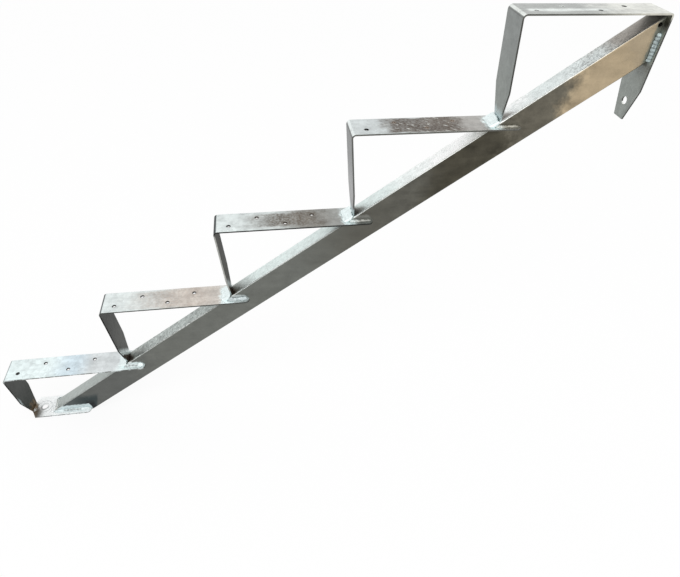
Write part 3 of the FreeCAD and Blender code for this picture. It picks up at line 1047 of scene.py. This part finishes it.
@dataclass
class Steel:
    """The strips, the foot and the tube, with the soft edges that shears and zinc leave.

    Lengths are in millimetres and limits in degrees.
    """

    edge: float = 0.2
    edge_parts: int = 2
    merge: float = 0.01
    flat_limit: float = 0.5
    corner_limit: float = 40.0
    smooth_limit: float = 50.0
    hole_rim: float = 0.3
    face_weight: int = 100
    # Tones for each step: the facing tones, bend, crease, holes, hanger tones, glint, lane and tongue are
    # painted light, shade and reflection.
    strips: dict[int, StripFinish] = field(default_factory=lambda: {
        1: StripFinish(
            bend=tone(168, 176, 176), edge=tone(20, 22, 20), rear=tone(70, 72, 70),
            rear_low=tone(46, 50, 46), cool=0.75, rust=0.85, glint=0.55, nicks=0.65,
        ),
        2: StripFinish(
            top=tone(221, 228, 227), top_end=tone(212, 209, 203), tongue=tone(202, 209, 208),
            bend=tone(84, 88, 88), side=tone(74, 76, 73), edge=tone(30, 32, 30),
            rear=tone(44, 45, 41), rear_low=tone(68, 69, 65), drip=0.95,
            stain=Stain(tone(188, 176, 166), start=84.0, end=246.0, soft=60.0, cover=0.85, border=27.0),
        ),
        3: StripFinish(
            top=tone(221, 228, 227), top_end=tone(172, 174, 171), tongue=tone(164, 169, 166),
            bend=tone(84, 88, 88), side=tone(52, 53, 51), edge=tone(170, 171, 166),
            rear=tone(71, 72, 66), rear_low=tone(71, 72, 66), drip=0.6, sheen=0.5,
            holes=(tone(44, 44, 41),) + (tone(84, 76, 68),) * 3,
            stain=Stain(tone(112, 103, 93), start=82.0, end=222.0, soft=46.0, fleck=0.45),
        ),
        4: StripFinish(
            top=tone(207, 213, 213), top_end=tone(178, 176, 172), tongue=tone(188, 188, 180),
            bend=tone(232, 238, 237), side=tone(98, 98, 93), edge=tone(96, 97, 94),
            front=tone(133, 135, 135), front_low=tone(163, 164, 164), under=tone(204, 205, 200),
            holes=(tone(44, 44, 41),) + (tone(150, 138, 126),) * 3,
            stain=Stain(
                tone(90, 78, 67), start=66.0, end=208.0, cover=1.0, border=29.0, fleck=0.3, flakes=0.85
            ),
        ),
        5: StripFinish(
            top=tone(177, 180, 177), top_end=tone(224, 225, 219), bend=tone(228, 232, 228),
            side=tone(100, 100, 95), side_end=tone(205, 203, 192), edge=tone(78, 78, 74),
            front=tone(138, 142, 140), front_low=tone(145, 150, 146),
            rear=tone(134, 136, 131), rear_low=tone(134, 136, 131), lane=0.95,
            holes=(tone(196, 198, 196), tone(214, 217, 214), tone(150, 152, 150), tone(52, 52, 48)),
        ),
    })

    def build(self) -> None:
        """Build and dress every steel piece."""
        for step in range(1, STAIR.steps + 1):
            node = f"step_bracket_{step}" if step < STAIR.steps else "top_bracket"
            strip = self.soften(node, f"{node}_strip", step)
            dress_piece(strip, self.strips[step].dress(f"zinc_step_{step}", step), [node])
        foot = self.soften("foot_plate", "foot_plate_strip")
        dress_piece(foot, FootFinish().dress("zinc_foot"), ["foot_plate"])
        tube = self.soften("spine_tube", "spine_tube_shell")
        dress_piece(tube, TubeFinish().dress("zinc_tube"), ["spine_tube"])

    def punched(self, place: Vector, step: int) -> bool:
        """Whether a place lies on the sharp rim of one of a tread's screw holes.

        Args:
            place: The place, in metres.
            step: Number of the step.

        Returns:
            True on a rim.
        """
        run, across = place.x / MM - STAIR.front(step), place.y / MM
        reach = STAIR.hole_radius + self.hole_rim
        centres = [STAIR.hole(index) for index in range(STAIR.holes)]
        return any(math.hypot(run - ahead, across - aside) < reach for ahead, aside in centres)

    def soften(self, node: str, name: str, step: int = 0) -> bpy.types.Object:
        """Copy a node's shape and soften its edges, but not the rims of its screw holes.

        Args:
            node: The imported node.
            name: The new piece's name.
            step: Number of the step, for a strip with screw holes.

        Returns:
            The new object.
        """
        bpy.ops.object.select_all(action="DESELECT")
        thing = bpy.data.objects.new(name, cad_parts[node].data.copy())
        bpy.context.scene.collection.objects.link(thing)
        thing.select_set(True)
        bpy.context.view_layer.objects.active = thing
        self.weigh_corners(thing, step)
        soft = thing.modifiers.new("soft_edges", "BEVEL")
        soft.width = self.edge * MM
        soft.segments = self.edge_parts
        soft.limit_method = "WEIGHT"
        apply_all(thing)
        bpy.ops.object.shade_smooth_by_angle(angle=math.radians(self.smooth_limit))
        flat = thing.modifiers.new("flat_faces", "WEIGHTED_NORMAL")
        flat.keep_sharp = True
        flat.weight = self.face_weight
        apply_all(thing)
        return thing

    def weigh_corners(self, thing: bpy.types.Object, step: int) -> None:
        """Join a shape's faces where they lie flat, and mark the corners that are softened.

        Args:
            thing: The active object.
            step: Number of the step, or 0 for a piece without screw holes.
        """
        bpy.ops.object.mode_set(mode="EDIT")
        bpy.ops.mesh.select_all(action="SELECT")
        bpy.ops.mesh.customdata_custom_splitnormals_clear()
        bpy.ops.mesh.remove_doubles(threshold=self.merge * MM)
        bpy.ops.mesh.dissolve_limited(angle_limit=math.radians(self.flat_limit))
        bpy.ops.mesh.select_all(action="DESELECT")
        bpy.ops.mesh.select_mode(type="EDGE")
        bpy.ops.mesh.edges_select_sharp(sharpness=math.radians(self.corner_limit))
        bpy.ops.object.mode_set(mode="OBJECT")
        spots = [vertex.co for vertex in thing.data.vertices]
        weights = thing.data.attributes.new("bevel_weight_edge", "FLOAT", "EDGE")
        for edge, weight in zip(thing.data.edges, weights.data):
            middle = (spots[edge.vertices[0]] + spots[edge.vertices[1]]) / 2
            weight.value = float(edge.select and not (step and self.punched(middle, step)))
        bpy.context.tool_settings.mesh_select_mode = (True, False, False)


@dataclass
class Bead:
    """A lumpy weld laid along a straight path, filling a corner between two plates; millimetres."""

    start: Vector
    end: Vector
    corner: Sequence[Vector]
    toe: Vector
    crest: Vector
    bulge: float = 0.4
    lumps: float = 0.7
    ripple: float = 4.6
    blobs: int = 0
    end_size: float = 1.0
    lead_in: float = 5.0
    lead_out: float = 5.0
    waver: float = 0.3
    waver_lengths: Span = (6.0, 6.5)
    lump_length: float = 7.0
    fine_length: float = 2.4
    curl: float = 3.0
    tip: float = 0.2
    seed: float = 0.0
    slices: int = 36
    arc: int = 9

    def build(self, name: str) -> bpy.types.Object:
        """Model the bead: a section face, extruded slice by slice, then made lumpy.

        Args:
            name: The bead's name.

        Returns:
            The bead's object.
        """
        count = len(self.corner) + self.arc
        bpy.ops.object.select_all(action="DESELECT")
        bpy.ops.mesh.primitive_circle_add(vertices=count, radius=10 * MM, fill_type="NGON")
        thing = bpy.context.object
        thing.name = thing.data.name = name
        bpy.ops.object.mode_set(mode="EDIT")
        for _ in range(self.slices):
            bpy.ops.mesh.extrude_region_move(TRANSFORM_OT_translate={"value": (0.0, 0.0, MM)})
        bpy.ops.object.mode_set(mode="OBJECT")
        run = self.end - self.start
        for index, vertex in enumerate(thing.data.vertices):
            layer, spot = divmod(index, count)
            share = layer / self.slices
            vertex.co = (self.start + run * share + self.offset(spot, share, run.length)) * MM
        bpy.ops.object.mode_set(mode="EDIT")
        bpy.ops.mesh.select_all(action="SELECT")
        bpy.ops.mesh.normals_make_consistent(inside=False)
        bpy.ops.object.mode_set(mode="OBJECT")
        smooth = thing.modifiers.new("rounding", "SUBSURF")
        smooth.levels = smooth.render_levels = 1
        apply_all(thing)
        bpy.ops.object.shade_smooth()
        return thing

    def sway(self, along: float, across: float, shift: float = 0.0) -> float:
        """Smooth noise from -1 to 1 that starts from the bead's seed."""
        return noise.noise(Vector((along, across, self.seed + shift)))

    def offset(self, spot: int, share: float, length: float) -> Vector:
        """Where one point of the section lies from the path.

        Args:
            spot: Number of the point in the section.
            share: Share of the path's length.
            length: The path's length.

        Returns:
            The offset from the path, in millimetres.
        """
        hidden = len(self.corner)
        if spot < hidden:
            return self.corner[spot]
        place = (spot - hidden) / (self.arc - 1)
        along = share * length
        toe = self.toe * (1 + self.waver * self.sway(along / self.waver_lengths[0], 0.0))
        crest = self.crest * (1 + self.waver * self.sway(along / self.waver_lengths[1], 4.0))
        chord = crest - toe
        middle = (toe + crest) / 2
        outward = (middle - middle.project(chord)).normalized()
        rough = self.sway(along / self.lump_length, place * 1.6)
        fine = self.sway(along / self.fine_length, place * 3.0, 9.0)
        curl = along + self.curl * (2 * place - 1) ** 2
        wave = abs(math.sin(math.pi * curl / self.ripple + self.seed)) - 0.5
        swell = 4 * place * (1 - place)
        height = self.bulge * swell + self.lumps * (rough + 0.5 * fine + 0.6 * wave) * (0.25 + 0.75 * swell)
        point = toe + chord * place + outward * height
        ends = min(1.0, along / self.lead_in, (length - along) / self.lead_out) ** 0.6
        size = (self.tip + (1 - self.tip) * ends) * (1 + (self.end_size - 1) * share)
        if self.blobs:
            size *= 0.55 + 0.5 * abs(math.sin(math.pi * self.blobs * share)) ** 0.6
        heart = self.corner[-1]
        return heart + (point - heart) * size


@dataclass
class Welds:
    """Every weld bead of the stringer, in millimetres."""

    leg: float = 6.0
    sink: float = 0.3
    step_leg: float = 9.0
    step_overhang: float = 2.5
    tongue_reaches: tuple[float, ...] = (8.0, 7.0, 5.2, 4.6)
    tongue_margin: float = 2.0
    tongue_shapes: tuple[Shape, ...] = (
        {"bulge": 0.2, "lumps": 0.6},
        {"bulge": 0.8, "blobs": 2},
        {"bulge": 0.6, "end_size": 0.5},
        {"bulge": 0.6, "end_size": 0.6, "blobs": 2},
    )
    foot_reach: float = 8.0
    foot_margin: float = 0.5
    toe_leg: float = 4.5
    toe_reach: float = 5.0
    toe_overhang: float = 1.5
    riser_half: float = 13.0
    hanger_legs: Span = (6.5, 6.6)
    hanger_gap: float = 25.0
    finishes: dict[str, WeldFinish] = field(default_factory=lambda: {
        "step": WeldFinish(pit_share=0.12),
        "tongue_1": WeldFinish(pit_share=0.2, dash_shadow_start=226.0, dash_shadow_end=263.0),
        "tongue_2": WeldFinish(tone(192, 201, 202), pit_share=0.2),
        "tongue_3": WeldFinish(tone(202, 210, 208), tone(166, 167, 161), 758.0, pit_share=0.3),
        "tongue_4": WeldFinish(tone(204, 208, 203), tone(184, 182, 170), 1016.0, pit_share=0.25),
        "foot": WeldFinish(tone(222, 233, 234), pit_share=0.15, dash_shadow_start=52.0, dash_shadow_end=92.0),
        "toe": WeldFinish(tone(246, 250, 250), pit_share=0.0, metal=0.15),
        "riser": WeldFinish(tone(178, 180, 178), rust_share=0.9),
        "hanger": WeldFinish(tone(174, 187, 187), pit_share=0.5, weave=6.0),
    })

    def build(self) -> None:
        """Build and dress the beads."""
        for step in range(1, STAIR.steps):
            self.step_weld(step)
            self.tongue_pair(step)
        self.foot_pair()
        self.toe_weld()
        self.riser_weld()
        self.hanger_pair()

    def lay(self, node: str, finish: str, beads: Sequence[Bead]) -> None:
        """Build beads, join them and put them in place of a node.

        Args:
            node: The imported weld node.
            finish: Key of the finish.
            beads: The beads that stand for it.
        """
        name = f"{node}_bead"
        things = [bead.build(name) for bead in beads]
        bpy.ops.object.select_all(action="DESELECT")
        for thing in things:
            thing.select_set(True)
        bpy.context.view_layer.objects.active = things[0]
        if len(things) > 1:
            bpy.ops.object.join()
        things[0].name = things[0].data.name = name
        dress_piece(things[0], self.finishes[finish].dress(f"zinc_{name}"), [node])

    def step_weld(self, step: int) -> None:
        """Weld where a tread, the next riser and the tube meet.

        Args:
            step: Number of the tread's step.
        """
        line, top = STAIR.front(step) + STAIR.going, STAIR.top(step)
        root = (STAIR.spine_drop - STAIR.strip) / STAIR.slope
        drop = (STAIR.rise + STAIR.spine_drop) / (1 + STAIR.slope * STAIR.lean_slope)
        fore = Vector((STAIR.lean_slope * drop, 0.0, STAIR.rise - drop))
        corner = [fore, Vector((root, 0.0, -STAIR.strip)), Vector((root, 0.0, 0.0))]
        toe = Vector((root - self.step_leg, 0.0, 0.0))
        crest = fore + Vector((-STAIR.lean_slope * self.leg, 0.0, self.leg))
        half = STAIR.spine_width / 2 + self.step_overhang
        base = Vector((line, 0.0, top))
        across = Vector((0.0, half, 0.0))
        shape = {"bulge": -0.3, "lumps": 0.6, "lead_in": 3.0, "lead_out": 3.0, "seed": 3.1 * step}
        bead = Bead(base - across, base + across, corner, toe, crest, **shape)
        self.lay(f"step_weld_{step}", "step", [bead])

    def tongue_pair(self, step: int) -> None:
        """Beads on both tongues of a step.

        Args:
            step: Number of the step.
        """
        line = STAIR.front(step) + STAIR.going
        shoulder = STAIR.spine_drop + STAIR.spine_corner * STAIR.rake
        span = (line + 0.5 * shoulder / STAIR.slope, line + STAIR.tongue_reach - self.tongue_margin)
        shape = {"lead_in": 4.0, "lead_out": 3.5, **self.tongue_shapes[step - 1]}
        reach, node = self.tongue_reaches[step - 1], f"tongue_welds_{step}"
        self.side_pair(node, f"tongue_{step}", span, STAIR.top(step), reach, float(step), shape)

    def foot_pair(self) -> None:
        """Beads on both sides of the foot plate's fork."""
        top = STAIR.strip
        shoulder = STAIR.spine_corner * STAIR.rake + top
        span = (STAIR.spine_start + 0.55 * shoulder / STAIR.slope, STAIR.foot_end - self.foot_margin)
        shape = {"lead_in": 9.0, "lead_out": 4.0, "bulge": 0.2, "lumps": 0.45, "slices": 60}
        self.side_pair("foot_side_welds", "foot", span, top, self.foot_reach, 7.0, shape)

    def side_pair(
        self, node: str, finish: str, span: Span, top: float, reach: float, seed: float, shape: Shape
    ) -> None:
        """Beads along both sides of the tube, on a strip's tongues.

        Args:
            node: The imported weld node.
            finish: Key of the finish.
            span: Where the beads start and end along the run.
            top: Top face of the strip.
            reach: How far the beads go up the tube.
            seed: Start of the lumps.
            shape: Other shape values of the beads.
        """
        beads = []
        for side in (-1.0, 1.0):
            wall = side * STAIR.spine_width / 2
            toe, crest = Vector((0.0, side * self.leg, 0.0)), Vector((0.0, 0.0, reach))
            path = [Vector((place, wall, top)) for place in span]
            corner = [Vector((0.0, -self.sink * side, -self.sink))]
            beads.append(Bead(*path, corner, toe, crest, seed=seed + side, **shape))
        self.lay(node, finish, beads)

    def toe_weld(self) -> None:
        """Weld across the front of the tube's lower end."""
        start, strip = STAIR.spine_start, STAIR.strip
        rise = strip + self.toe_reach
        crest = Vector((rise / STAIR.slope, 0.0, rise))
        corner = [Vector((0.0, 0.0, 0.0)), Vector((0.0, 0.0, strip))]
        half = STAIR.spine_width / 2 + self.toe_overhang
        path = [Vector((start, y, 0.0)) for y in (-half, half)]
        toe = Vector((-self.toe_leg, 0.0, strip))
        shape = {"bulge": 0.3, "lumps": 0.25, "waver": 0.1, "end_size": 0.45}
        bead = Bead(*path, corner, toe, crest, lead_in=2.0, lead_out=4.0, seed=5.5, **shape)
        self.lay("foot_toe_weld", "toe", [bead])

    def riser_weld(self) -> None:
        """Weld behind the first riser's lower end."""
        heel = STAIR.foot_front + STAIR.strip / math.cos(math.radians(STAIR.lean))
        path = [Vector((heel, y, STAIR.strip)) for y in (-self.riser_half, self.riser_half)]
        toe, crest = Vector((self.leg, 0.0, 0.0)), Vector((-STAIR.lean_slope * self.leg, 0.0, self.leg))
        corner = [Vector((-self.sink, 0.0, -self.sink))]
        self.lay("riser_1_weld", "riser", [Bead(*path, corner, toe, crest, seed=8.2)])

    def hanger_pair(self) -> None:
        """Upright beads between the tube's upper end and the hanger."""
        top = STAIR.spine_top(STAIR.hanger_face)
        low = top - STAIR.spine_depth * STAIR.rake
        beads = []
        for side in (-1.0, 1.0):
            wall = side * STAIR.spine_width / 2
            path = [Vector((STAIR.hanger_face, wall, z)) for z in (low, top - self.hanger_gap)]
            toe = Vector((-self.hanger_legs[0], 0.0, 0.0))
            crest = Vector((0.0, side * self.hanger_legs[1], 0.0))
            corner = [Vector((self.sink, -self.sink * side, 0.0))]
            shape = {"ripple": 6.0, "lumps": 0.8, "bulge": 0.5, "lead_in": 3.0, "slices": 48}
            beads.append(Bead(*path, corner, toe, crest, seed=11.0 + side, **shape))
        self.lay("hanger_welds", "hanger", beads)


# Studio


@dataclass
class Studio:
    """Pale floor, soft light and the camera."""

    floor_size: float = 16.0
    floor_place: tuple[float, float, float] = (0.6, 0.0, -0.0006)
    floor_glow: float = 0.9
    floor_grey: float = 0.86
    sky_glow: float = 1.0
    lamp_watts: float = 22.0
    lamp_size: Span = (2.4, 1.6)
    lamp_place: Vector = field(default_factory=lambda: Vector((0.1, -1.5, 2.9)))
    lamp_target: Vector = field(default_factory=lambda: Vector((0.62, 0.0, 0.45)))
    picture_width: float = 680.0
    focal_pixels: float = 515.43063
    eye: Vector = field(default_factory=lambda: Vector((0.58580529, -0.8503567, 1.13007954)))
    right: Vector = field(default_factory=lambda: Vector((0.98840881, -0.14759149, 0.03556367)))
    down: Vector = field(default_factory=lambda: Vector((-0.07431069, -0.6746182, -0.73441692)))
    ahead: Vector = field(default_factory=lambda: Vector((0.13238559, 0.72326139, -0.67776619)))
    sensor: float = 36.0
    clip: Span = (0.05, 60.0)

    def build(self) -> None:
        """Lay the floor, hang the lights and set the camera."""
        self.floor()
        self.sky()
        self.lamp()
        self.camera()

    def floor(self) -> None:
        """Lay a floor that shows white to the camera and in the metal, and keeps a faint shadow."""
        bpy.ops.object.select_all(action="DESELECT")
        bpy.ops.mesh.primitive_plane_add(size=self.floor_size, location=self.floor_place)
        floor = bpy.context.object
        floor.name = "floor"
        bpy.ops.object.transform_apply(location=True, rotation=True, scale=True)
        bench = Bench(bpy.data.materials.new("pale_floor"))
        ray = bench.node("ShaderNodeLightPath", {}, {})
        seen = Value(bench, ray.outputs["Is Camera Ray"]) + Value(bench, ray.outputs["Is Glossy Ray"])
        seen = seen + Value(bench, ray.outputs["Is Transmission Ray"])
        grey = (self.floor_grey,) * 3 + (1.0,)
        matt = bench.out("ShaderNodeBsdfDiffuse", 0, {}, {"Color": grey})
        glow = bench.out("ShaderNodeEmission", 0, {}, {"Color": WHITE, "Strength": 1.0})
        both = bench.out("ShaderNodeMixShader", 0, {}, {0: seen * self.floor_glow, 1: matt, 2: glow})
        bench.node("ShaderNodeOutputMaterial", {}, {"Surface": both})
        floor.data.materials.append(bench.owner)

    def sky(self) -> None:
        """Set an even white studio surround."""
        world = bpy.data.worlds.new("studio")
        bpy.context.scene.world = world
        bench = Bench(world)
        light = bench.out("ShaderNodeBackground", 0, {}, {"Color": WHITE, "Strength": self.sky_glow})
        bench.node("ShaderNodeOutputWorld", {}, {"Surface": light})

    def lamp(self) -> None:
        """Hang one large soft light above and behind the camera."""
        light = bpy.data.lights.new("softbox", "AREA")
        light.shape = "RECTANGLE"
        light.size, light.size_y = self.lamp_size
        light.energy = self.lamp_watts
        lamp = bpy.data.objects.new("softbox", light)
        lamp.location = self.lamp_place
        lamp.rotation_euler = (self.lamp_target - self.lamp_place).to_track_quat("-Z", "Y").to_euler()
        bpy.context.scene.collection.objects.link(lamp)

    def camera(self) -> None:
        """Set the camera at the picture's own view."""
        lens = bpy.data.cameras.new("view")
        lens.sensor_fit = "HORIZONTAL"
        lens.sensor_width = self.sensor
        lens.lens = self.focal_pixels * self.sensor / self.picture_width
        lens.clip_start, lens.clip_end = self.clip
        camera = bpy.data.objects.new("view", lens)
        turn = Matrix((self.right, -self.down, -self.ahead)).transposed().to_4x4()
        camera.matrix_world = Matrix.Translation(self.eye) @ turn
        bpy.context.scene.collection.objects.link(camera)
        bpy.context.scene.camera = camera


def main() -> None:
    """Build the stringer and its studio."""
    logging.basicConfig(level=logging.INFO, format="%(name)s: %(message)s")
    bpy.context.scene.view_settings.view_transform = "Standard"
    Steel().build()
    Welds().build()
    Studio().build()


if __name__ == "__main__":
    main()
